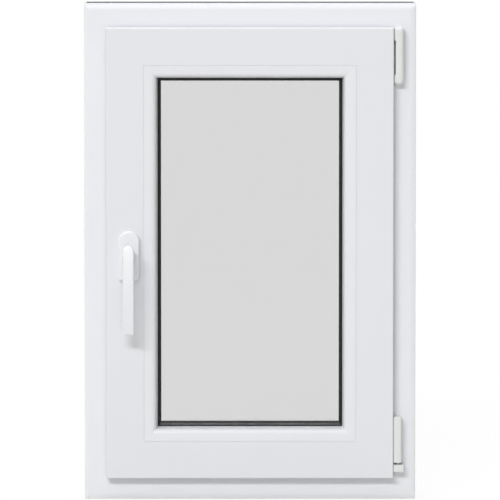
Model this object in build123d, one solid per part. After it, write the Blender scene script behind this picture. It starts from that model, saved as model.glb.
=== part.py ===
from build123d import *
import os

# Basement window: a tilt-and-turn window with one sash, seen from the room.
# Millimetres. X to the right, Y from the room to the outside, Z up.
# The origin is the middle of the underside of the outer frame.
# A profile section is drawn as (u, y): u runs inwards from the edge of the ring
# that it goes round, y is the window's own depth direction.

# Driving dimensions: the outer frame
WINDOW_WIDTH = 500.0
WINDOW_HEIGHT = 750.0
FRAME_DEPTH = 70.0
FRAME_FACE = 44.0
FRAME_BEVEL_WIDTH = 5.5
FRAME_BEVEL_DROP = 1.6
FRAME_BEVEL_ROUND = 16.0
FRAME_EDGE_ROUND = 1.2
FLANGE_RISE = 23.0
FLANGE_THICKNESS = 14.0
FLANGE_BEVEL_RISE = 4.0
FLANGE_BEVEL_DEPTH = 6.0
DRAIN_CHANNEL_DEPTH = 4.0
DRAIN_CHANNEL_WIDTH = 23.0
WALL_GROOVE_DEPTH = 3.0
WALL_GROOVE_EDGE = 5.0
CENTRE_LAND_WIDTH = 12.0

# Driving dimensions: the sash and its overlap on the frame
FRAME_SHOWING = 33.5
SASH_PROUD = 18.0
SASH_DEPTH = 71.0
SASH_FACE = 56.5
SASH_EDGE_ROUND = 1.8
REBATE_GAP = 12.0
OVERLAP_GAP = 4.0
GLAZING_FLANGE_THICKNESS = 18.0
GLAZING_BEVEL_RISE = 6.0
GLAZING_BEVEL_DEPTH = 10.0
HARDWARE_GROOVE_WIDTH = 16.0
HARDWARE_GROOVE_DEPTH = 3.5
HARDWARE_GROOVE_SETBACK = 9.0
SMALL_ROUND = 1.0

# Driving dimensions: the glazing and its beads
BEAD_WIDTH = 20.6
BEAD_DEPTH = 23.0
BEAD_CREST = 13.0
BEAD_CREST_DROP = 0.8
BEAD_SHOULDER_WIDTH = 5.6
BEAD_SHOULDER_DROP = 6.5
BEAD_SHOULDER_BULGE = 1.5
BEAD_JOINT = 0.2
BEAD_FOOT_WIDTH = 5.0
BEAD_FOOT_REACH = 3.0
BEAD_FOOT_SETBACK = 8.0
PANE_THICKNESS = 4.0
PANE_SPACING = 16.0
GLASS_EDGE_GAP = 5.0
GASKET_THICKNESS = 3.0
GASKET_SHOWING = 4.5
GASKET_COVER = 10.0
OUTER_GASKET_SHOWING = 5.0
SPACER_INSET = 3.0
SPACER_HEIGHT = 8.0
BLOCK_LENGTH = 80.0
BLOCK_FROM_CORNER = 40.0

# Driving dimensions: the seals between sash and frame
OVERLAP_SEAL_WIDTH = 6.0
OVERLAP_SEAL_INSET = 3.0
STOP_SEAL_WIDTH = 7.0
STOP_SEAL_INSET = 2.0

# Driving dimensions: the handle
HANDLE_BACKSET = 34.0
HANDLE_HEIGHT = 373.0
ROSE_WIDTH = 32.0
ROSE_HEIGHT = 75.0
ROSE_THICKNESS = 11.0
ROSE_ROUND = 3.0
ROSE_FOOT_ROUND = 4.0
COLLAR_DIAMETER = 21.0
COLLAR_THICKNESS = 3.0
COLLAR_BEVEL = 0.8
NECK_DIAMETER = 16.0
NECK_RUNNING_GAP = 0.3
LEVER_WIDTH = 17.0
LEVER_ABOVE_AXIS = 19.0
LEVER_BELOW_AXIS = 117.0
LEVER_PROUD = 50.0
LEVER_THICKNESS = 12.0
LEVER_HEAD_SETBACK = 7.0
LEVER_TIP_SETBACK = 9.0
LEVER_ROUND = 3.0
SPINDLE_SIDE = 7.0
SPINDLE_DEPTH = 30.0
SPINDLE_BORE_GAP = 1.0

# Driving dimensions: the hinges
HINGE_SIDE_GAP = 0.3
TOP_HINGE_WIDTH = 15.0
TOP_HINGE_HEIGHT = 87.0
TOP_HINGE_PROUD = 17.0
TOP_HINGE_ABOVE_SASH = 1.0
TOP_HINGE_NOTCH_HEIGHT = 51.5
TOP_HINGE_NOTCH_WIDTH = 2.6
TOP_HINGE_NOTCH_DROP = 20.5
TOP_HINGE_CORNER = 6.0
TOP_HINGE_ROUND = 5.2
BARREL_WIDTH = 12.5
BARREL_HEIGHT = 70.0
BARREL_PROUD = 17.0
BARREL_BOTTOM = 57.5
BARREL_CORNER = 3.5
BARREL_ROUND = 3.0
PIVOT_GAP = 3.5
PIVOT_WIDTH = 16.0
PIVOT_HEIGHT = 11.5
PIVOT_PROUD = 16.0
PIVOT_ROUND = 1.5
PIN_DIAMETER = 4.0
PIN_REACH = 7.0
PIN_CLEARANCE = 0.05

# Driving dimensions: the strip on the head and the drain caps
STRIP_THICKNESS = 3.0
STRIP_SIDE_GAP = 0.3
DRAIN_CAP_LENGTH = 40.0
DRAIN_CAP_HEIGHT = 14.0
DRAIN_CAP_THICKNESS = 5.0
DRAIN_CAP_FROM_EDGE = 120.0
DRAIN_SLOT_LENGTH = 30.0
DRAIN_SLOT_HEIGHT = 5.0

# Places worked out from the driving dimensions
frame_front = -FRAME_DEPTH / 2
frame_back = FRAME_DEPTH / 2
flange_edge = FRAME_FACE + FLANGE_RISE
flange_front = frame_back - FLANGE_THICKNESS
sash_front = frame_front - SASH_PROUD
sash_back = sash_front + SASH_DEPTH
lip_back = frame_front - OVERLAP_GAP
sash_body = FRAME_FACE + REBATE_GAP - FRAME_SHOWING
bead_inset = FRAME_SHOWING + SASH_FACE
bead_back = sash_front + BEAD_DEPTH
glass_front = bead_back + GASKET_THICKNESS
glass_back = glass_front + 2 * PANE_THICKNESS + PANE_SPACING
glazing_flange_front = sash_back - GLAZING_FLANGE_THICKNESS
glass_inset = bead_inset + GLASS_EDGE_GAP
handle_x = -WINDOW_WIDTH / 2 + FRAME_SHOWING + HANDLE_BACKSET
sash_right = WINDOW_WIDTH / 2 - FRAME_SHOWING
sash_top = WINDOW_HEIGHT - FRAME_SHOWING
centre_height = WINDOW_HEIGHT / 2

SIDES = ("top", "bottom", "left", "right")


def section(points):
    """Closed section from (u, y) corners; a third number rounds that corner."""
    corners = [(point[0], point[1]) for point in points]
    face = make_face(Polyline(*corners, close=True))
    for point in points:
        if len(point) == 3:
            corner = face.vertices().sort_by_distance((point[0], point[1], 0))[0]
            face = fillet(corner, point[2])
    return face


def mitred_length(profile, run):
    """One profile length along X, outer edge at Z = 0, cut at 45 degrees at both ends."""
    end = Plane(origin=(run / 2, 0, 0), x_dir=(0, 0, 1), z_dir=(-1, 0, 0))
    bar = extrude(end * profile, run)
    wedge_face = make_face(Polyline((-run / 2, 0), (run / 2, 0), (0, run / 2), close=True))
    wedge = extrude(Plane.XZ * wedge_face, run, both=True)
    return bar & wedge


def on_side(solid, side, inset):
    """Turn a length made for the bottom and set it on its side of the window."""
    if side == "bottom":
        return Pos(0, 0, inset) * solid
    if side == "top":
        return Pos(0, 0, WINDOW_HEIGHT - inset) * Rot(0, 180, 0) * solid
    if side == "left":
        return Pos(-WINDOW_WIDTH / 2 + inset, 0, centre_height) * Rot(0, 90, 0) * solid
    return Pos(WINDOW_WIDTH / 2 - inset, 0, centre_height) * Rot(0, -90, 0) * solid


def four_lengths(profile, inset):
    """The four mitred lengths of a ring that lies inset from the window's edge."""
    runs = {"top": WINDOW_WIDTH, "bottom": WINDOW_WIDTH, "left": WINDOW_HEIGHT, "right": WINDOW_HEIGHT}
    return {side: on_side(mitred_length(profile, runs[side] - 2 * inset), side, inset) for side in SIDES}


def whole_ring(profile, inset):
    """One continuous ring, as a seal with welded corners."""
    lengths = four_lengths(profile, inset)
    ring = lengths["top"]
    for side in SIDES[1:]:
        ring = ring + lengths[side]
    return ring


def pane_plate(inset, front, thickness):
    """A flat rectangular plate, inset from the window's edge on all sides."""
    plate = Box(WINDOW_WIDTH - 2 * inset, thickness, WINDOW_HEIGHT - 2 * inset)
    return Pos(0, front + thickness / 2, centre_height) * plate


def frame_section():
    """Outer frame: wall grooves outside, rebate with a drain channel, outer flange."""
    channel_start = flange_front - DRAIN_CHANNEL_WIDTH
    channel_floor = FRAME_FACE - DRAIN_CHANNEL_DEPTH
    land = CENTRE_LAND_WIDTH / 2
    groove_front = frame_front + WALL_GROOVE_EDGE
    groove_back = frame_back - WALL_GROOVE_EDGE
    return section([
        (0, frame_front + FRAME_BEVEL_DROP, FRAME_EDGE_ROUND),
        (FRAME_BEVEL_WIDTH, frame_front, FRAME_BEVEL_ROUND),
        (FRAME_FACE, frame_front, SMALL_ROUND),
        (FRAME_FACE, channel_start),
        (channel_floor, channel_start + DRAIN_CHANNEL_DEPTH),
        (channel_floor, flange_front),
        (flange_edge, flange_front, SMALL_ROUND),
        (flange_edge, frame_back - FLANGE_BEVEL_DEPTH),
        (flange_edge - FLANGE_BEVEL_RISE, frame_back, SMALL_ROUND),
        (0, frame_back, SMALL_ROUND),
        (0, groove_back),
        (WALL_GROOVE_DEPTH, groove_back),
        (WALL_GROOVE_DEPTH, land),
        (0, land),
        (0, -land),
        (WALL_GROOVE_DEPTH, -land),
        (WALL_GROOVE_DEPTH, groove_front),
        (0, groove_front),
    ])


def sash_section():
    """Sash: overlap lip, hardware groove, glazing rebate with the bead groove, flange."""
    groove_front = lip_back + HARDWARE_GROOVE_SETBACK
    groove_back = groove_front + HARDWARE_GROOVE_WIDTH
    groove_floor = sash_body + HARDWARE_GROOVE_DEPTH
    foot_front = sash_front + BEAD_FOOT_SETBACK - BEAD_JOINT / 2
    foot_back = foot_front + BEAD_FOOT_WIDTH + BEAD_JOINT
    foot_floor = SASH_FACE - BEAD_FOOT_REACH - BEAD_JOINT / 2
    flange_top = SASH_FACE + BEAD_WIDTH
    return section([
        (0, sash_front, SASH_EDGE_ROUND),
        (SASH_FACE, sash_front),
        (SASH_FACE, foot_front),
        (foot_floor, foot_front),
        (foot_floor, foot_back),
        (SASH_FACE, foot_back),
        (SASH_FACE, glazing_flange_front),
        (flange_top, glazing_flange_front, SMALL_ROUND),
        (flange_top, sash_back - GLAZING_BEVEL_DEPTH),
        (flange_top - GLAZING_BEVEL_RISE, sash_back, SMALL_ROUND),
        (sash_body, sash_back, SMALL_ROUND),
        (sash_body, groove_back),
        (groove_floor, groove_back),
        (groove_floor, groove_front),
        (sash_body, groove_front),
        (sash_body, lip_back),
        (0, lip_back, SMALL_ROUND),
    ])


def bead_section():
    """Glazing bead: a nearly flat crest, a round shoulder, a steep side and a snap-in foot."""
    foot_front = sash_front + BEAD_FOOT_SETBACK
    foot_back = foot_front + BEAD_FOOT_WIDTH
    heel = (BEAD_JOINT, sash_front + BEAD_JOINT / 2)
    crest_middle = (BEAD_CREST / 2, sash_front + BEAD_CREST_DROP / 4)
    crest = (BEAD_CREST, sash_front + BEAD_CREST_DROP)
    shoulder = (BEAD_CREST + BEAD_SHOULDER_WIDTH, sash_front + BEAD_SHOULDER_DROP)
    shoulder_middle = (
        (crest[0] + shoulder[0]) / 2 + BEAD_SHOULDER_BULGE / 2,
        (crest[1] + shoulder[1]) / 2 - BEAD_SHOULDER_BULGE / 2,
    )
    outline = (
        ThreePointArc(heel, crest_middle, crest)
        + ThreePointArc(crest, shoulder_middle, shoulder)
        + Polyline(
            shoulder,
            (BEAD_WIDTH, bead_back - SMALL_ROUND),
            (BEAD_WIDTH - SMALL_ROUND, bead_back),
            (BEAD_JOINT, bead_back),
            (BEAD_JOINT, foot_back),
            (-BEAD_FOOT_REACH, foot_back),
            (-BEAD_FOOT_REACH, foot_front),
            (BEAD_JOINT, foot_front),
            heel,
        )
    )
    return make_face(outline)


def inner_gasket_section():
    """Room-side glazing gasket: between bead and glass, with a lip that shows."""
    start = BEAD_WIDTH - GASKET_COVER
    end = BEAD_WIDTH + GASKET_SHOWING
    return section([
        (start, bead_back),
        (BEAD_WIDTH, bead_back),
        (BEAD_WIDTH + GASKET_THICKNESS / 2, bead_back - SMALL_ROUND, SMALL_ROUND),
        (end, glass_front - SMALL_ROUND),
        (end, glass_front),
        (start, glass_front),
    ])


def outer_gasket_section():
    """Outer glazing gasket: between the glass and the sash's glazing flange."""
    start = BEAD_WIDTH - GASKET_COVER
    end = BEAD_WIDTH + OUTER_GASKET_SHOWING
    return section([
        (start, glass_back),
        (end, glass_back),
        (end, glass_back + SMALL_ROUND),
        (BEAD_WIDTH, glazing_flange_front),
        (start, glazing_flange_front),
    ])


def plain_strip_section(start, width, front, back):
    """Rectangular section from start to start + width, between two depths."""
    return section([(start, front), (start + width, front), (start + width, back), (start, back)])


def make_drained_sill(sill):
    """Cut the drain slots from the channel through the outer face of the bottom length."""
    slot_floor = FRAME_FACE - DRAIN_CHANNEL_DEPTH
    slot_depth = FLANGE_THICKNESS + DRAIN_CHANNEL_DEPTH
    for cap_x in drain_places():
        slot = Box(DRAIN_SLOT_LENGTH, 2 * slot_depth, DRAIN_SLOT_HEIGHT)
        sill = sill - Pos(cap_x, frame_back, slot_floor - DRAIN_SLOT_HEIGHT / 2 + 1) * slot
    return sill


def drain_places():
    """Left and right place of the drain slots and their caps."""
    offset = WINDOW_WIDTH / 2 - DRAIN_CAP_FROM_EDGE
    return (-offset, offset)


def make_drain_cap(cap_x):
    """Hooded cap over a drain slot, open underneath."""
    height = FRAME_FACE - DRAIN_CHANNEL_DEPTH - DRAIN_SLOT_HEIGHT / 2
    hood = Box(DRAIN_CAP_LENGTH, DRAIN_CAP_THICKNESS, DRAIN_CAP_HEIGHT)
    hood = fillet(hood.edges().filter_by(Axis.Z).group_by(Axis.Y)[-1], SMALL_ROUND)
    wall = SMALL_ROUND
    pocket = Box(DRAIN_CAP_LENGTH - 4 * wall, DRAIN_CAP_THICKNESS - wall, DRAIN_CAP_HEIGHT - wall)
    hood = hood - Pos(0, -wall / 2, -wall / 2) * pocket
    return Pos(cap_x, frame_back + DRAIN_CAP_THICKNESS / 2, height) * hood


def make_handle_stile(stile):
    """Bore the handle's spindle hole through the stile's face."""
    radius = SPINDLE_SIDE / 2 * 2**0.5 + SPINDLE_BORE_GAP
    depth = SPINDLE_DEPTH + SPINDLE_BORE_GAP
    bore = Cylinder(radius, depth, rotation=(90, 0, 0))
    return stile - Pos(handle_x, sash_front + depth / 2, HANDLE_HEIGHT) * bore


def make_rose():
    """Rose with a half-round top, a square foot, a rounded front edge and the spindle's bore."""
    half = ROSE_WIDTH / 2
    foot = -ROSE_HEIGHT / 2
    spring = ROSE_HEIGHT / 2 - half
    outline = make_face(
        Polyline((-half, spring), (-half, foot), (half, foot), (half, spring))
        + ThreePointArc((half, spring), (0, ROSE_HEIGHT / 2), (-half, spring))
    )
    outline = fillet(outline.vertices().group_by(Axis.Y)[0], ROSE_FOOT_ROUND)
    rose = extrude(Plane.XZ * outline, ROSE_THICKNESS)
    rose = fillet(rose.faces().sort_by(Axis.Y)[0].edges(), ROSE_ROUND)
    radius = SPINDLE_SIDE / 2 * 2**0.5 + SPINDLE_BORE_GAP
    rose = rose - Cylinder(radius, 4 * ROSE_THICKNESS, rotation=(90, 0, 0))
    return Pos(handle_x, sash_front, HANDLE_HEIGHT) * rose


def make_collar():
    """Raised ring on the rose, round the lever's neck."""
    ring = Circle(COLLAR_DIAMETER / 2) - Circle(NECK_DIAMETER / 2 + NECK_RUNNING_GAP)
    collar = extrude(Plane.XZ * ring, COLLAR_THICKNESS)
    collar = chamfer(collar.faces().sort_by(Axis.Y)[0].outer_wire().edges(), COLLAR_BEVEL)
    return Pos(handle_x, sash_front - ROSE_THICKNESS, HANDLE_HEIGHT) * collar


def make_lever():
    """Handle lever hanging down: domed head, long flat grip, round neck into the collar."""
    half = LEVER_WIDTH / 2
    dome_centre = LEVER_ABOVE_AXIS - half
    front_face = make_face(
        Polyline(
            (-half, dome_centre), (-half, -LEVER_BELOW_AXIS), (half, -LEVER_BELOW_AXIS), (half, dome_centre)
        )
        + ThreePointArc((half, dome_centre), (0, LEVER_ABOVE_AXIS), (-half, dome_centre))
    )
    front = extrude(Plane.XZ * front_face, 2 * LEVER_PROUD)
    head_front = -LEVER_PROUD + LEVER_HEAD_SETBACK
    tip_front = -LEVER_PROUD + LEVER_TIP_SETBACK
    middle = -LEVER_BELOW_AXIS / 2
    head_back = head_front + LEVER_THICKNESS - LEVER_ROUND
    side_face = make_face(
        ThreePointArc(
            (head_front, LEVER_ABOVE_AXIS), (-LEVER_PROUD, middle), (tip_front, -LEVER_BELOW_AXIS)
        )
        + Line((tip_front, -LEVER_BELOW_AXIS), (tip_front + LEVER_THICKNESS, -LEVER_BELOW_AXIS))
        + ThreePointArc(
            (tip_front + LEVER_THICKNESS, -LEVER_BELOW_AXIS),
            (-LEVER_PROUD + LEVER_THICKNESS, middle),
            (head_back, LEVER_ABOVE_AXIS),
        )
        + Line((head_back, LEVER_ABOVE_AXIS), (head_front, LEVER_ABOVE_AXIS))
    )
    side = extrude(Plane.YZ * side_face, LEVER_WIDTH, both=True)
    grip = front & side
    long_edges = grip.faces().sort_by(Axis.Y)[0].edges()
    grip = fillet(long_edges, LEVER_ROUND)
    neck_length = LEVER_PROUD - LEVER_THICKNESS / 2 - ROSE_THICKNESS - NECK_RUNNING_GAP
    neck = Cylinder(NECK_DIAMETER / 2, neck_length, rotation=(90, 0, 0))
    neck_middle = -ROSE_THICKNESS - NECK_RUNNING_GAP - neck_length / 2
    lever = grip + Pos(0, neck_middle, 0) * neck
    return Pos(handle_x, sash_front, HANDLE_HEIGHT) * lever


def make_spindle():
    """Square steel bar from the lever's neck through the rose into the sash."""
    start = -ROSE_THICKNESS - NECK_RUNNING_GAP
    length = SPINDLE_DEPTH - start
    bar = Box(SPINDLE_SIDE, length, SPINDLE_SIDE)
    return Pos(handle_x, sash_front + start + length / 2, HANDLE_HEIGHT) * bar


def make_top_hinge_cover():
    """Cover of the stay bearing beside the sash's top corner, with a notch at the sash."""
    depth = TOP_HINGE_PROUD
    outline = RectangleRounded(TOP_HINGE_WIDTH, TOP_HINGE_HEIGHT, TOP_HINGE_CORNER)
    cover = Pos(0, depth / 2, 0) * extrude(Plane.XZ * outline, depth)
    cover = fillet(cover.faces().sort_by(Axis.Y)[0].edges(), TOP_HINGE_ROUND)
    notch = Box(2 * TOP_HINGE_NOTCH_WIDTH, 2 * depth, TOP_HINGE_NOTCH_HEIGHT)
    notch_middle = TOP_HINGE_HEIGHT / 2 - TOP_HINGE_NOTCH_DROP - TOP_HINGE_NOTCH_HEIGHT / 2
    cover = cover - Pos(-TOP_HINGE_WIDTH / 2, 0, notch_middle) * notch
    centre_x = sash_right + HINGE_SIDE_GAP + TOP_HINGE_WIDTH / 2
    centre_z = sash_top + TOP_HINGE_ABOVE_SASH - TOP_HINGE_HEIGHT / 2
    return Pos(centre_x, frame_front - depth / 2, centre_z) * cover


def pin_place():
    """X and Y of the bottom hinge's pin."""
    return (sash_right + HINGE_SIDE_GAP + BARREL_WIDTH / 2, frame_front - BARREL_PROUD / 2)


def bored(block, bottom_z, height):
    """Bore the pin's blind hole into a hinge piece."""
    pin_x, pin_y = pin_place()
    bore = Cylinder(PIN_DIAMETER / 2 + PIN_CLEARANCE, height)
    return block - Pos(pin_x, pin_y, bottom_z + height / 2) * bore


def make_barrel():
    """Capped barrel on the sash's edge that hangs on the bottom pin."""
    depth = BARREL_PROUD - HINGE_SIDE_GAP
    outline = Rectangle(BARREL_WIDTH, BARREL_HEIGHT)
    outline = fillet(outline.vertices().group_by(Axis.Y)[-1], BARREL_CORNER)
    barrel = Pos(0, depth / 2, 0) * extrude(Plane.XZ * outline, depth)
    front = barrel.faces().sort_by(Axis.Y)[0].edges().sort_by(Axis.Z)
    barrel = fillet(front[1:], BARREL_ROUND)
    pin_x, _ = pin_place()
    centre_y = frame_front - HINGE_SIDE_GAP - depth / 2
    barrel = Pos(pin_x, centre_y, BARREL_BOTTOM + BARREL_HEIGHT / 2) * barrel
    return bored(barrel, BARREL_BOTTOM, PIN_REACH + PIN_CLEARANCE)


def make_pivot_block():
    """Frame-side block that carries the pin."""
    top = BARREL_BOTTOM - PIVOT_GAP
    block = Box(PIVOT_WIDTH, PIVOT_PROUD, PIVOT_HEIGHT)
    block = fillet(block.faces().sort_by(Axis.Y)[0].edges(), PIVOT_ROUND)
    centre_x = sash_right + HINGE_SIDE_GAP + PIVOT_WIDTH / 2
    block = Pos(centre_x, frame_front - PIVOT_PROUD / 2, top - PIVOT_HEIGHT / 2) * block
    return bored(block, top - PIN_REACH, PIN_REACH)


def make_pin():
    """Steel pin between the pivot block and the barrel."""
    pin_x, pin_y = pin_place()
    length = 2 * PIN_REACH + PIVOT_GAP
    return Pos(pin_x, pin_y, BARREL_BOTTOM - PIVOT_GAP / 2) * Cylinder(PIN_DIAMETER / 2, length)


def make_head_strip():
    """Dark strip in the outer groove along the top of the head."""
    land = CENTRE_LAND_WIDTH / 2
    groove_width = frame_back - WALL_GROOVE_EDGE - land
    width = groove_width - 2 * STRIP_SIDE_GAP
    length = WINDOW_WIDTH - 2 * (WALL_GROOVE_DEPTH + STRIP_SIDE_GAP)
    strip = Box(length, width, STRIP_THICKNESS)
    top = WINDOW_HEIGHT - WALL_GROOVE_DEPTH + STRIP_THICKNESS
    return Pos(0, land + groove_width / 2, top - STRIP_THICKNESS / 2) * strip


def make_setting_blocks():
    """Two blocks in the glazing rebate that carry the glass unit."""
    length = BLOCK_LENGTH
    width = glass_back - glass_front
    offset = WINDOW_WIDTH / 2 - bead_inset - BLOCK_FROM_CORNER - length / 2
    block = Box(length, width, GLASS_EDGE_GAP)
    centre_y = (glass_front + glass_back) / 2
    centre_z = bead_inset + GLASS_EDGE_GAP / 2
    return Pos(-offset, centre_y, centre_z) * block + Pos(offset, centre_y, centre_z) * block


def build_pieces():
    """All pieces by node name."""
    frame = four_lengths(frame_section(), 0)
    sash = four_lengths(sash_section(), FRAME_SHOWING)
    beads = four_lengths(bead_section(), bead_inset)
    spacer_profile = plain_strip_section(
        0, SPACER_HEIGHT, glass_front + PANE_THICKNESS, glass_back - PANE_THICKNESS
    )
    overlap_profile = plain_strip_section(0, OVERLAP_SEAL_WIDTH, lip_back, frame_front)
    stop_profile = plain_strip_section(0, STOP_SEAL_WIDTH, sash_back, flange_front)
    pieces = {
        "frame_head": frame["top"],
        "frame_sill": make_drained_sill(frame["bottom"]),
        "frame_jamb_left": frame["left"],
        "frame_jamb_right": frame["right"],
        "sash_top_rail": sash["top"],
        "sash_bottom_rail": sash["bottom"],
        "sash_handle_stile": make_handle_stile(sash["left"]),
        "sash_hinge_stile": sash["right"],
        "glass_inner_pane": pane_plate(glass_inset, glass_front, PANE_THICKNESS),
        "glass_outer_pane": pane_plate(glass_inset, glass_back - PANE_THICKNESS, PANE_THICKNESS),
        "glazing_spacer": whole_ring(spacer_profile, glass_inset + SPACER_INSET),
        "glazing_blocks": make_setting_blocks(),
        "inner_glazing_gasket": whole_ring(inner_gasket_section(), bead_inset),
        "outer_glazing_gasket": whole_ring(outer_gasket_section(), bead_inset),
        "sash_overlap_seal": whole_ring(overlap_profile, FRAME_SHOWING + OVERLAP_SEAL_INSET),
        "frame_stop_seal": whole_ring(stop_profile, flange_edge - STOP_SEAL_INSET - STOP_SEAL_WIDTH),
        "handle_rose": make_rose(),
        "handle_collar": make_collar(),
        "handle_lever": make_lever(),
        "handle_spindle": make_spindle(),
        "top_hinge_cover": make_top_hinge_cover(),
        "bottom_hinge_barrel": make_barrel(),
        "bottom_hinge_pin": make_pin(),
        "bottom_hinge_pivot": make_pivot_block(),
        "head_strip": make_head_strip(),
    }
    for side in SIDES:
        pieces["bead_" + side] = beads[side]
    for name, cap_x in zip(("drain_cap_left", "drain_cap_right"), drain_places()):
        pieces[name] = make_drain_cap(cap_x)
    return pieces


os.makedirs("parts", exist_ok=True)
for node, shape in build_pieces().items():
    export_step(shape, "parts/" + node + ".step")
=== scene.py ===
from collections import namedtuple

import bpy
from bpy.props import FloatProperty, FloatVectorProperty, PointerProperty
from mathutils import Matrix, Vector


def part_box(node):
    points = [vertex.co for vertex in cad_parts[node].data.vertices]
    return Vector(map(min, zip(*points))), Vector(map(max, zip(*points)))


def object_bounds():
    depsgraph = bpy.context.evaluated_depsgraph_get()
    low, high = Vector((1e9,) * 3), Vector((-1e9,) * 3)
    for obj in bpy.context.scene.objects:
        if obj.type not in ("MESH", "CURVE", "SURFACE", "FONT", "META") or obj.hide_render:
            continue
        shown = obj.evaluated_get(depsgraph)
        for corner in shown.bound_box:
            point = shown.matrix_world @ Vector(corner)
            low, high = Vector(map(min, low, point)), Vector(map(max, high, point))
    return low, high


bl_info = {
    "name": "Basement Window Finish",
    "version": (1, 0, 0),
    "blender": (4, 5, 0),
    "location": "View3D > Sidebar > Window Finish",
    "description": "Finishes, stage and camera for a small tilt-and-turn window",
    "category": "Object",
}

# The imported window, and the places that the stage is set out from, in metres
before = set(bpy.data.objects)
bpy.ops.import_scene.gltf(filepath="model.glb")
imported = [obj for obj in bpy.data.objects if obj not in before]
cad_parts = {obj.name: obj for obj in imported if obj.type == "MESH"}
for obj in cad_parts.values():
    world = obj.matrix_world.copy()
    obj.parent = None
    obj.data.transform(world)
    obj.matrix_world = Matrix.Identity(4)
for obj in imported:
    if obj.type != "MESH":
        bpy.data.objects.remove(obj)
CAD_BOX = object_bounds()
ROOM_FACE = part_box("frame_jamb_left")[0].y
HEAD_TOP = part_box("frame_head")[1].z
WINDOW_CENTRE = Vector((0.0, ROOM_FACE, HEAD_TOP / 2))

# Where the fine grain is drawn out: its scale along x, y and z
LEVEL_GRAIN = (0.03, 1.0, 1.0)
UPRIGHT_GRAIN = (1.0, 1.0, 0.03)
EVEN_GRAIN = (1.0, 1.0, 1.0)

# A surface: scale of its soft patches and fine grain per metre, lowest and highest
# roughness, and strength and height in metres of the relief that the grain gives
Skin = namedtuple("Skin", ("patches", "grain", "roughness", "relief", "relief_height"))
PROFILE_SKIN = Skin(9.0, 900.0, (0.34, 0.46), 0.14, 0.0002)
SPACER_SKIN = Skin(30.0, 1500.0, (0.28, 0.42), 0.08, 0.0001)
BLOCK_SKIN = Skin(40.0, 700.0, (0.45, 0.60), 0.10, 0.0002)
RUBBER_SKIN = Skin(45.0, 1100.0, (0.38, 0.58), 0.35, 0.0002)
HANDLE_SKIN = Skin(60.0, 750.0, (0.26, 0.38), 0.24, 0.0002)
COVER_SKIN = Skin(50.0, 900.0, (0.32, 0.44), 0.18, 0.0002)
SPINDLE_SKIN = Skin(80.0, 1600.0, (0.25, 0.40), 0.10, 0.0001)
PIN_SKIN = Skin(80.0, 1600.0, (0.22, 0.35), 0.10, 0.0001)
STRIP_SKIN = Skin(55.0, 900.0, (0.70, 0.90), 0.35, 0.0004)
PATCH_DETAIL = 3.0
GRAIN_DETAIL = 2.0

# Gloss of single materials
PROFILE_SPECULAR = 0.42
RUBBER_SPECULAR = 0.30
STRIP_SPECULAR = 0.05
HANDLE_LACQUER = 0.8
HANDLE_LACQUER_ROUGHNESS = 0.28
GLASS_IOR = 1.46

# Painted top light on rubber: a grey laid on faces that look up, lightening them as light from
# above would; from which upward slope it starts and is full, and how patchy it is
TOP_LIGHT_SLOPE_START = 0.25
TOP_LIGHT_SLOPE_END = 0.85
TOP_LIGHT_PATCHES = 90.0
TOP_LIGHT_PATCH_LOW = 0.3
TOP_LIGHT_PATCH_HIGH = 0.6
TOP_LIGHT_THINNEST = 0.6
TOP_LIGHT_AMOUNT = 0.95

# Directions from the window to the lamps and their distances in metres
STRIP_DIRECTION = (-0.27, -0.83, 0.53)
STRIP_DISTANCE = 20.0
FILL_DIRECTION = (-0.02, -1.0, -0.02)
FILL_DISTANCE = 9.0
TOP_DIRECTION = (-0.12, 0.06, 1.0)
TOP_DISTANCE = 6.0
BACK_DIRECTION = (0.45, 0.85, 0.25)
BACK_DISTANCE = 9.0

# The sky is brightest this way; the band over which it changes, as a cosine
SKY_DIRECTION = (-0.60, -0.20, 0.60)
SKY_BAND = 0.8

FLOOR_DROP = 0.0005
FLOOR_FADE_START = 1.0
CAMERA_REACH = 200.0
WHITE = (1.0, 1.0, 1.0, 1.0)


def colour(label, text, value):
    """A colour for the sidebar."""
    return FloatVectorProperty(
        name=label, description=text, default=value, subtype="COLOR", size=3, min=0.0, max=1.0
    )


def length(label, text, value):
    """A length in metres for the sidebar."""
    return FloatProperty(name=label, description=text, default=value, unit="LENGTH")


def power(label, text, value):
    """A lamp's power in watts for the sidebar."""
    return FloatProperty(name=label, description=text, default=value, min=0.0, unit="POWER")


def level(label, text, value):
    """A share from 0 to 1 for the sidebar."""
    return FloatProperty(
        name=label, description=text, default=value, min=0.0, max=1.0, subtype="FACTOR"
    )


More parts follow.
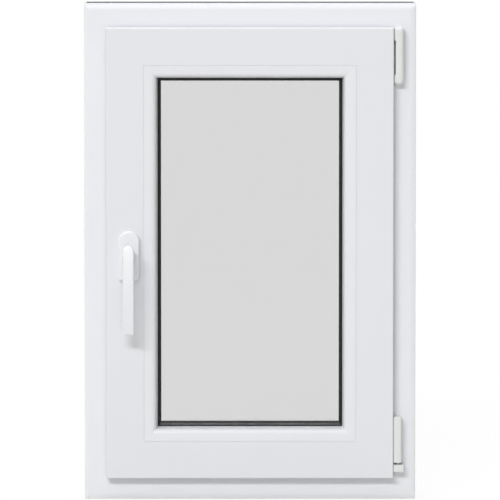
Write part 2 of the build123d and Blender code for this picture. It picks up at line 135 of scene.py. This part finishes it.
class WindowFinish(bpy.types.PropertyGroup):
    """Colours of the window's materials."""

    # Painted light and shade: the frame's tones are lighter and the sash's darker than the
    # beads' tones, though all three are one plastic
    frame_tone_painted_lighter: colour("Frame", "White plastic of the outer frame", (0.823, 0.836, 0.876))
    frame_second_tone_painted_lighter: colour("Frame Shade", "Second tone of the outer frame", (0.804, 0.818, 0.860))
    sash_tone_painted_darker: colour("Sash", "White plastic of the sash", (0.782, 0.795, 0.835))
    sash_second_tone_painted_darker: colour("Sash Shade", "Second tone of the sash", (0.764, 0.778, 0.820))
    bead_tone: colour("Beads", "White plastic of the glazing beads", (0.798, 0.811, 0.852))
    bead_shade: colour("Bead Shade", "Second tone of the beads", (0.779, 0.793, 0.836))
    handle: colour("Handle", "Powder coat of the handle", (0.830, 0.843, 0.880))
    handle_shade: colour("Handle Shade", "Second tone of the handle", (0.808, 0.822, 0.860))
    cover: colour("Hinge Covers", "Moulded covers of the hinges", (0.755, 0.767, 0.775))
    cover_shade: colour("Cover Shade", "Second tone of the covers", (0.738, 0.750, 0.757))
    rubber: colour("Seals", "Black extruded rubber", (0.009, 0.009, 0.009))
    rubber_shade: colour("Seal Shade", "Greyer tone of the rubber", (0.015, 0.015, 0.016))
    # Painted top light: the grey laid on rubber faces that look up
    top_light_paint: colour("Top Light Paint", "Grey bloom on upward rubber", (0.150, 0.151, 0.156))
    strip: colour("Head Strip", "Dark strip in the head's groove", (0.018, 0.018, 0.020))
    strip_shade: colour("Strip Shade", "Lighter tone of the strip", (0.030, 0.030, 0.033))
    steel: colour("Steel", "Zinc plated pin and spindle", (0.560, 0.565, 0.575))
    steel_shade: colour("Steel Shade", "Duller tone of the steel", (0.440, 0.445, 0.455))
    spacer: colour("Spacer", "Metal spacer between the panes", (0.620, 0.625, 0.635))
    spacer_shade: colour("Spacer Shade", "Duller tone of the spacer", (0.540, 0.545, 0.555))
    block: colour("Setting Blocks", "Plastic blocks under the glass", (0.060, 0.120, 0.300))
    block_shade: colour("Block Shade", "Second tone of the blocks", (0.050, 0.100, 0.260))
    glass: colour("Glass", "Tint of one pane", (0.826, 0.825, 0.826))


class StudioSetup(bpy.types.PropertyGroup):
    """Camera, lamps, sky and floor."""

    camera_distance: length("Camera Distance", "From the window's face", 11.5)
    camera_height: length("Camera Height", "Above the floor", 1.58)
    camera_lens: FloatProperty(
        name="Lens", description="Focal length in millimetres", default=551.5, unit="CAMERA"
    )
    aim_height: length("Aim Height", "Height that the camera looks at", 0.379)
    strip_power: power("Strip Lamp", "Wide, low strip at the upper left in front", 2040.0)
    strip_width: length("Strip Width", "Width of the strip lamp", 12.0)
    strip_height: length("Strip Height", "Height of the strip lamp", 2.5)
    fill_power: power("Fill Lamp", "Large soft lamp in front", 80.0)
    fill_size: length("Fill Size", "Side of the fill lamp", 4.0)
    top_power: power("Top Lamp", "Lamp straight above", 158.0)
    top_size: length("Top Size", "Side of the top lamp", 3.4)
    back_power: power("Back Lamp", "Large soft lamp behind, to the right", 300.0)
    back_size: length("Back Size", "Side of the back lamp", 4.0)
    sky_bright: level("Sky Bright", "Sky level at the upper left", 0.36)
    sky_dim: level("Sky Dim", "Sky level at the lower right", 0.23)
    sky_tone: colour("Sky Tone", "Slightly warm tone of the sky", (1.0, 0.985, 0.955))
    floor_size: length("Floor Size", "Side of the floor", 60.0)
    floor_white: level("Floor White", "Share of plain white round the window", 0.91)
    floor_fade: length("Floor Fade", "Distance at which the floor is plain white", 5.0)
    floor_tone: colour("Floor", "Pale floor that the lamps light", (0.72, 0.71, 0.68))


def finish():
    """The colours, as set in the sidebar."""
    return bpy.context.scene.window_finish


def studio():
    """The studio's values, as set in the sidebar."""
    return bpy.context.scene.window_studio


def new_group(name, inputs, outputs):
    """A shader node group with its sockets, and its two end nodes.

    Inputs are (name, kind, default) and outputs are (name, kind); a kind is the
    last word of Blender's socket class.
    """
    group = bpy.data.node_groups.new(name, "ShaderNodeTree")
    for label, kind, default in inputs:
        socket = group.interface.new_socket(
            name=label, in_out="INPUT", socket_type="NodeSocket" + kind
        )
        socket.default_value = default
    for label, kind in outputs:
        group.interface.new_socket(
            name=label, in_out="OUTPUT", socket_type="NodeSocket" + kind
        )
    return group, group.nodes.new("NodeGroupInput"), group.nodes.new("NodeGroupOutput")


def operation(nodes, kind, name):
    """A maths node of a kind, set to one operation."""
    node = nodes.new(kind)
    node.operation = name
    return node


def skin_group():
    """Surface skin: two tones in soft patches, fine grain drawn out along one axis."""
    name = "Surface Skin"
    if name in bpy.data.node_groups:
        return bpy.data.node_groups[name]
    group, given, result = new_group(
        name,
        (
            ("Tone", "Color", (0.8, 0.8, 0.8, 1.0)),
            ("Second Tone", "Color", (0.7, 0.7, 0.7, 1.0)),
            ("Patch Scale", "Float", 12.0),
            ("Grain Scale", "Float", 600.0),
            ("Grain Direction", "Vector", EVEN_GRAIN),
            ("Roughness Low", "Float", 0.3),
            ("Roughness High", "Float", 0.4),
        ),
        (("Colour", "Color"), ("Roughness", "Float"), ("Height", "Float")),
    )
    nodes, links = group.nodes, group.links
    place = nodes.new("ShaderNodeTexCoord")
    patches = nodes.new("ShaderNodeTexNoise")
    patches.inputs["Detail"].default_value = PATCH_DETAIL
    stretch = operation(nodes, "ShaderNodeVectorMath", "MULTIPLY")
    grain = nodes.new("ShaderNodeTexNoise")
    grain.inputs["Detail"].default_value = GRAIN_DETAIL
    tones = nodes.new("ShaderNodeMix")
    tones.data_type = "RGBA"
    gloss = nodes.new("ShaderNodeMapRange")
    links.new(place.outputs["Object"], patches.inputs["Vector"])
    links.new(given.outputs["Patch Scale"], patches.inputs["Scale"])
    links.new(place.outputs["Object"], stretch.inputs[0])
    links.new(given.outputs["Grain Direction"], stretch.inputs[1])
    links.new(stretch.outputs["Vector"], grain.inputs["Vector"])
    links.new(given.outputs["Grain Scale"], grain.inputs["Scale"])
    links.new(patches.outputs["Fac"], tones.inputs["Factor"])
    links.new(given.outputs["Tone"], tones.inputs["A"])
    links.new(given.outputs["Second Tone"], tones.inputs["B"])
    links.new(grain.outputs["Fac"], gloss.inputs["Value"])
    links.new(given.outputs["Roughness Low"], gloss.inputs["To Min"])
    links.new(given.outputs["Roughness High"], gloss.inputs["To Max"])
    links.new(tones.outputs["Result"], result.inputs["Colour"])
    links.new(gloss.outputs["Result"], result.inputs["Roughness"])
    links.new(grain.outputs["Fac"], result.inputs["Height"])
    return group


def painted_top_light_group():
    """Painted top light: a patchy mask that is 1 on faces that look up and 0 on upright ones."""
    name = "Ledge Bloom"
    if name in bpy.data.node_groups:
        return bpy.data.node_groups[name]
    group, given, result = new_group(
        name,
        (
            ("Slope Start", "Float", TOP_LIGHT_SLOPE_START),
            ("Slope End", "Float", TOP_LIGHT_SLOPE_END),
            ("Amount", "Float", TOP_LIGHT_AMOUNT),
        ),
        (("Mask", "Float"),),
    )
    nodes, links = group.nodes, group.links
    place = nodes.new("ShaderNodeTexCoord")
    parts = nodes.new("ShaderNodeSeparateXYZ")
    slope = nodes.new("ShaderNodeMapRange")
    patches = nodes.new("ShaderNodeTexNoise")
    patches.inputs["Scale"].default_value = TOP_LIGHT_PATCHES
    patches.inputs["Detail"].default_value = PATCH_DETAIL
    spread = nodes.new("ShaderNodeMapRange")
    spread.inputs["From Min"].default_value = TOP_LIGHT_PATCH_LOW
    spread.inputs["From Max"].default_value = TOP_LIGHT_PATCH_HIGH
    spread.inputs["To Min"].default_value = TOP_LIGHT_THINNEST
    lit_upward = operation(nodes, "ShaderNodeMath", "MULTIPLY")
    share = operation(nodes, "ShaderNodeMath", "MULTIPLY")
    links.new(place.outputs["Normal"], parts.inputs["Vector"])
    links.new(parts.outputs["Z"], slope.inputs["Value"])
    links.new(given.outputs["Slope Start"], slope.inputs["From Min"])
    links.new(given.outputs["Slope End"], slope.inputs["From Max"])
    links.new(place.outputs["Object"], patches.inputs["Vector"])
    links.new(patches.outputs["Fac"], spread.inputs["Value"])
    links.new(slope.outputs["Result"], lit_upward.inputs[0])
    links.new(spread.outputs["Result"], lit_upward.inputs[1])
    links.new(lit_upward.outputs["Value"], share.inputs[0])
    links.new(given.outputs["Amount"], share.inputs[1])
    links.new(share.outputs["Value"], result.inputs["Mask"])
    return group


def node_material(name):
    """A new material made of nodes."""
    material = bpy.data.materials.new(name)
    material.use_nodes = True
    return material


def principled(material):
    """The inputs of a material's Principled shader."""
    return material.node_tree.nodes["Principled BSDF"].inputs


def skinned_material(name, tones, surface, grain_direction=EVEN_GRAIN):
    """A material of two tones with the surface skin."""
    material = node_material(name)
    surfacing = principled(material)
    nodes, links = material.node_tree.nodes, material.node_tree.links
    skin = nodes.new("ShaderNodeGroup")
    skin.node_tree = skin_group()
    skin.inputs["Tone"].default_value = (*tones[0], 1.0)
    skin.inputs["Second Tone"].default_value = (*tones[1], 1.0)
    skin.inputs["Patch Scale"].default_value = surface.patches
    skin.inputs["Grain Scale"].default_value = surface.grain
    skin.inputs["Grain Direction"].default_value = grain_direction
    skin.inputs["Roughness Low"].default_value = surface.roughness[0]
    skin.inputs["Roughness High"].default_value = surface.roughness[1]
    relief = nodes.new("ShaderNodeBump")
    relief.inputs["Strength"].default_value = surface.relief
    relief.inputs["Distance"].default_value = surface.relief_height
    links.new(skin.outputs["Colour"], surfacing["Base Color"])
    links.new(skin.outputs["Roughness"], surfacing["Roughness"])
    links.new(skin.outputs["Height"], relief.inputs["Height"])
    links.new(relief.outputs["Normal"], surfacing["Normal"])
    return material


def add_painted_top_light(material, tone):
    """Paint light onto the upward faces of a dark material, lightening them as light from above
    would.
    """
    nodes, links = material.node_tree.nodes, material.node_tree.links
    top_light_paint = nodes.new("ShaderNodeGroup")
    top_light_paint.node_tree = painted_top_light_group()
    blend = nodes.new("ShaderNodeMix")
    blend.data_type = "RGBA"
    blend.inputs["B"].default_value = (*tone, 1.0)
    base = principled(material)["Base Color"]
    clean = base.links[0].from_socket
    links.new(top_light_paint.outputs["Mask"], blend.inputs["Factor"])
    links.new(clean, blend.inputs["A"])
    links.new(blend.outputs["Result"], base)


def dress(material, *nodes):
    """Give CAD nodes their material."""
    for node in nodes:
        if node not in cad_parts:
            raise RuntimeError("The packed window has no node " + node)
        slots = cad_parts[node].data.materials
        slots.clear()
        slots.append(material)


def dress_profiles(name, tones, level_nodes, upright_nodes):
    """White window plastic, satin, with faint lines along the way it was drawn."""
    for way, grain, nodes in (
        ("Level", LEVEL_GRAIN, level_nodes),
        ("Upright", UPRIGHT_GRAIN, upright_nodes),
    ):
        material = skinned_material(f"{name} Plastic {way}", tones, PROFILE_SKIN, grain)
        principled(material)["Specular IOR Level"].default_value = PROFILE_SPECULAR
        dress(material, *nodes)


def dress_metal(name, tones, surface, node):
    """Bare or zinc plated metal."""
    material = skinned_material(name, tones, surface)
    principled(material)["Metallic"].default_value = 1.0
    dress(material, node)


class WINDOW_OT_frame(bpy.types.Operator):
    """Finish the four lengths of the outer frame."""

    bl_idname = "window.finish_frame"
    bl_label = "Outer Frame"

    def execute(self, context):
        # Painted light: the frame's tones are lighter than the same plastic's on the beads
        tones = (finish().frame_tone_painted_lighter, finish().frame_second_tone_painted_lighter)
        dress_profiles(
            "Frame", tones, ("frame_head", "frame_sill"), ("frame_jamb_left", "frame_jamb_right")
        )
        return {"FINISHED"}


class WINDOW_OT_sash(bpy.types.Operator):
    """Finish the four lengths of the sash."""

    bl_idname = "window.finish_sash"
    bl_label = "Sash"

    def execute(self, context):
        # Painted shade: the sash's tones are darker than the same plastic's on the beads
        tones = (finish().sash_tone_painted_darker, finish().sash_second_tone_painted_darker)
        dress_profiles(
            "Sash",
            tones,
            ("sash_top_rail", "sash_bottom_rail"),
            ("sash_handle_stile", "sash_hinge_stile"),
        )
        return {"FINISHED"}


class WINDOW_OT_beads(bpy.types.Operator):
    """Finish the glazing beads."""

    bl_idname = "window.finish_beads"
    bl_label = "Glazing Beads"

    def execute(self, context):
        tones = (finish().bead_tone, finish().bead_shade)
        dress_profiles("Bead", tones, ("bead_top", "bead_bottom"), ("bead_left", "bead_right"))
        return {"FINISHED"}


class WINDOW_OT_glazing(bpy.types.Operator):
    """Finish the two panes, their spacer and the setting blocks."""

    bl_idname = "window.finish_glazing"
    bl_label = "Glazing"

    def execute(self, context):
        glass = node_material("Pane Glass")
        principled(glass)["Base Color"].default_value = (*finish().glass, 1.0)
        principled(glass)["Roughness"].default_value = 0.0
        principled(glass)["IOR"].default_value = GLASS_IOR
        principled(glass)["Transmission Weight"].default_value = 1.0
        dress(glass, "glass_inner_pane", "glass_outer_pane")
        spacer_tones = (finish().spacer, finish().spacer_shade)
        dress_metal("Spacer Metal", spacer_tones, SPACER_SKIN, "glazing_spacer")
        block_tones = (finish().block, finish().block_shade)
        block = skinned_material("Block Plastic", block_tones, BLOCK_SKIN)
        dress(block, "glazing_blocks")
        return {"FINISHED"}


class WINDOW_OT_seals(bpy.types.Operator):
    """Finish the black rubber seals."""

    bl_idname = "window.finish_seals"
    bl_label = "Seals"

    def execute(self, context):
        tones = (finish().rubber, finish().rubber_shade)
        rubber = skinned_material("Seal Rubber", tones, RUBBER_SKIN)
        principled(rubber)["Specular IOR Level"].default_value = RUBBER_SPECULAR
        # Painted top light on the seals' upward faces
        add_painted_top_light(rubber, finish().top_light_paint)
        dress(
            rubber,
            "inner_glazing_gasket",
            "outer_glazing_gasket",
            "sash_overlap_seal",
            "frame_stop_seal",
        )
        return {"FINISHED"}


class WINDOW_OT_handle(bpy.types.Operator):
    """Finish the handle: rose, collar, lever and spindle."""

    bl_idname = "window.finish_handle"
    bl_label = "Handle"

    def execute(self, context):
        tones = (finish().handle, finish().handle_shade)
        coat = skinned_material("Handle Coat", tones, HANDLE_SKIN)
        principled(coat)["Coat Weight"].default_value = HANDLE_LACQUER
        principled(coat)["Coat Roughness"].default_value = HANDLE_LACQUER_ROUGHNESS
        dress(coat, "handle_rose", "handle_collar", "handle_lever")
        steel_tones = (finish().steel, finish().steel_shade)
        dress_metal("Spindle Steel", steel_tones, SPINDLE_SKIN, "handle_spindle")
        return {"FINISHED"}


class WINDOW_OT_hinges(bpy.types.Operator):
    """Finish the hinge covers and the pin."""

    bl_idname = "window.finish_hinges"
    bl_label = "Hinges"

    def execute(self, context):
        tones = (finish().cover, finish().cover_shade)
        cover = skinned_material("Cover Plastic", tones, COVER_SKIN)
        dress(cover, "top_hinge_cover", "bottom_hinge_barrel", "bottom_hinge_pivot")
        steel_tones = (finish().steel, finish().steel_shade)
        dress_metal("Pin Steel", steel_tones, PIN_SKIN, "bottom_hinge_pin")
        return {"FINISHED"}


class WINDOW_OT_trim(bpy.types.Operator):
    """Finish the dark strip on the head and the drain caps."""

    bl_idname = "window.finish_trim"
    bl_label = "Strip and Drain Caps"

    def execute(self, context):
        tones = (finish().strip, finish().strip_shade)
        strip = skinned_material("Strip Dark", tones, STRIP_SKIN)
        principled(strip)["Specular IOR Level"].default_value = STRIP_SPECULAR
        dress(strip, "head_strip")
        # The caps take the frame's tones, painted lighter than the plastic's own
        cap_tones = (finish().frame_tone_painted_lighter, finish().frame_second_tone_painted_lighter)
        cap = skinned_material("Cap Plastic", cap_tones, COVER_SKIN)
        dress(cap, "drain_cap_left", "drain_cap_right")
        return {"FINISHED"}


def seen_rays(nodes, links):
    """A value that is 1 for camera, glossy and transmitted rays, and 0 for the others."""
    path = nodes.new("ShaderNodeLightPath")
    direct = operation(nodes, "ShaderNodeMath", "MAXIMUM")
    seen = operation(nodes, "ShaderNodeMath", "MAXIMUM")
    links.new(path.outputs["Is Camera Ray"], direct.inputs[0])
    links.new(path.outputs["Is Glossy Ray"], direct.inputs[1])
    links.new(direct.outputs["Value"], seen.inputs[0])
    links.new(path.outputs["Is Transmission Ray"], seen.inputs[1])
    return seen.outputs["Value"]


def make_floor():
    """Pale floor that reads as white, keeps a faint shadow and fades to plain white."""
    bpy.ops.mesh.primitive_plane_add(
        size=studio().floor_size, location=(0.0, 0.0, CAD_BOX[0][2] - FLOOR_DROP)
    )
    floor = bpy.context.object
    floor.name = "studio_floor"
    material = node_material("Studio Floor")
    nodes, links = material.node_tree.nodes, material.node_tree.links
    output = nodes["Material Output"]
    matt = nodes["Principled BSDF"]
    matt.inputs["Roughness"].default_value = 1.0
    matt.inputs["Specular IOR Level"].default_value = 0.0
    seen = seen_rays(nodes, links)
    paint = nodes.new("ShaderNodeMix")
    paint.data_type = "RGBA"
    paint.inputs["A"].default_value = (*studio().floor_tone, 1.0)
    paint.inputs["B"].default_value = WHITE
    white = nodes.new("ShaderNodeEmission")
    white.inputs["Strength"].default_value = 1.0
    place = nodes.new("ShaderNodeTexCoord")
    reach = operation(nodes, "ShaderNodeVectorMath", "LENGTH")
    fade = nodes.new("ShaderNodeMapRange")
    fade.inputs["From Min"].default_value = FLOOR_FADE_START
    fade.inputs["From Max"].default_value = studio().floor_fade
    fade.inputs["To Min"].default_value = studio().floor_white
    share = operation(nodes, "ShaderNodeMath", "MULTIPLY")
    mix = nodes.new("ShaderNodeMixShader")
    links.new(seen, paint.inputs["Factor"])
    links.new(paint.outputs["Result"], matt.inputs["Base Color"])
    links.new(place.outputs["Object"], reach.inputs[0])
    links.new(reach.outputs["Value"], fade.inputs["Value"])
    links.new(seen, share.inputs[0])
    links.new(fade.outputs["Result"], share.inputs[1])
    links.new(share.outputs["Value"], mix.inputs["Fac"])
    links.new(matt.outputs["BSDF"], mix.inputs[1])
    links.new(white.outputs["Emission"], mix.inputs[2])
    links.new(mix.outputs["Shader"], output.inputs["Surface"])
    floor.data.materials.append(material)


def make_world():
    """Soft light, brighter from the upper left; what the camera sees directly is white."""
    world = bpy.data.worlds.new("Studio World")
    bpy.context.scene.world = world
    world.use_nodes = True
    nodes, links = world.node_tree.nodes, world.node_tree.links
    back = nodes.get("Background") or nodes.new("ShaderNodeBackground")
    output = nodes.get("World Output") or nodes.new("ShaderNodeOutputWorld")
    seen = seen_rays(nodes, links)
    tint = nodes.new("ShaderNodeMix")
    tint.data_type = "RGBA"
    tint.inputs["A"].default_value = (*studio().sky_tone, 1.0)
    tint.inputs["B"].default_value = WHITE
    place = nodes.new("ShaderNodeTexCoord")
    toward = operation(nodes, "ShaderNodeVectorMath", "DOT_PRODUCT")
    toward.inputs[1].default_value = Vector(SKY_DIRECTION).normalized()
    sky = nodes.new("ShaderNodeMapRange")
    sky.inputs["From Min"].default_value = -SKY_BAND
    sky.inputs["From Max"].default_value = SKY_BAND
    sky.inputs["To Min"].default_value = studio().sky_dim
    sky.inputs["To Max"].default_value = studio().sky_bright
    strength = nodes.new("ShaderNodeMapRange")
    strength.inputs["To Max"].default_value = 1.0
    links.new(seen, tint.inputs["Factor"])
    links.new(tint.outputs["Result"], back.inputs["Color"])
    links.new(place.outputs["Generated"], toward.inputs[0])
    links.new(toward.outputs["Value"], sky.inputs["Value"])
    links.new(sky.outputs["Result"], strength.inputs["To Min"])
    links.new(seen, strength.inputs["Value"])
    links.new(strength.outputs["Result"], back.inputs["Strength"])
    links.new(back.outputs["Background"], output.inputs["Surface"])


def add_lamp(name, direction, distance, width, height, watts):
    """A soft lamp that shines on the window's middle from a direction."""
    data = bpy.data.lights.new(name, "AREA")
    data.shape = "RECTANGLE"
    data.size = width
    data.size_y = height
    data.energy = watts
    lamp = bpy.data.objects.new(name, data)
    bpy.context.scene.collection.objects.link(lamp)
    away = Vector(direction).normalized()
    lamp.location = WINDOW_CENTRE + away * distance
    lamp.rotation_euler = (-away).to_track_quat("-Z", "Y").to_euler()
    return lamp


def make_lamps():
    """A wide strip for the shadows, a fill in front, and lamps above and behind."""
    setup = studio()
    add_lamp(
        "Strip Lamp", STRIP_DIRECTION, STRIP_DISTANCE,
        setup.strip_width, setup.strip_height, setup.strip_power,
    )
    fill = add_lamp(
        "Fill Lamp", FILL_DIRECTION, FILL_DISTANCE,
        setup.fill_size, setup.fill_size, setup.fill_power,
    )
    # The panes would mirror this lamp in level views
    fill.visible_glossy = False
    fill.visible_transmission = False
    add_lamp(
        "Top Lamp", TOP_DIRECTION, TOP_DISTANCE,
        setup.top_size, setup.top_size, setup.top_power,
    )
    add_lamp(
        "Back Lamp", BACK_DIRECTION, BACK_DISTANCE,
        setup.back_size, setup.back_size, setup.back_power,
    )


def make_camera():
    """Long lens from the room side, a little above the window."""
    data = bpy.data.cameras.new("Photo Camera")
    data.lens = studio().camera_lens
    data.clip_end = CAMERA_REACH
    camera = bpy.data.objects.new("Photo Camera", data)
    bpy.context.scene.collection.objects.link(camera)
    camera.location = (0.0, ROOM_FACE - studio().camera_distance, studio().camera_height)
    aim = Vector((0.0, ROOM_FACE, studio().aim_height))
    camera.rotation_euler = (aim - camera.location).to_track_quat("-Z", "Y").to_euler()
    bpy.context.scene.camera = camera


class WINDOW_OT_stage(bpy.types.Operator):
    """Build the floor, the world, the lamps and the camera."""

    bl_idname = "window.build_stage"
    bl_label = "Stage"

    def execute(self, context):
        make_floor()
        make_world()
        make_lamps()
        make_camera()
        context.scene.view_settings.view_transform = "Standard"
        return {"FINISHED"}


STEPS = (
    WINDOW_OT_frame,
    WINDOW_OT_sash,
    WINDOW_OT_beads,
    WINDOW_OT_glazing,
    WINDOW_OT_seals,
    WINDOW_OT_handle,
    WINDOW_OT_hinges,
    WINDOW_OT_trim,
    WINDOW_OT_stage,
)


class WINDOW_PT_finish(bpy.types.Panel):
    """Sidebar panel with the finishing steps and their values."""

    bl_idname = "WINDOW_PT_finish"
    bl_label = "Basement Window"
    bl_space_type = "VIEW_3D"
    bl_region_type = "UI"
    bl_category = "Window Finish"

    def draw(self, context):
        column = self.layout.column()
        for step in STEPS:
            column.operator(step.bl_idname)
        for group in (context.scene.window_finish, context.scene.window_studio):
            for name in group.__annotations__:
                column.prop(group, name)


CLASSES = (WindowFinish, StudioSetup, *STEPS, WINDOW_PT_finish)


def register():
    for item in CLASSES:
        bpy.utils.register_class(item)
    bpy.types.Scene.window_finish = PointerProperty(type=WindowFinish)
    bpy.types.Scene.window_studio = PointerProperty(type=StudioSetup)


def unregister():
    del bpy.types.Scene.window_studio
    del bpy.types.Scene.window_finish
    for item in reversed(CLASSES):
        bpy.utils.unregister_class(item)


def main():
    register()
    bpy.ops.window.finish_frame()
    bpy.ops.window.finish_sash()
    bpy.ops.window.finish_beads()
    bpy.ops.window.finish_glazing()
    bpy.ops.window.finish_seals()
    bpy.ops.window.finish_handle()
    bpy.ops.window.finish_hinges()
    bpy.ops.window.finish_trim()
    bpy.ops.window.build_stage()


if __name__ == "__main__":
    main()
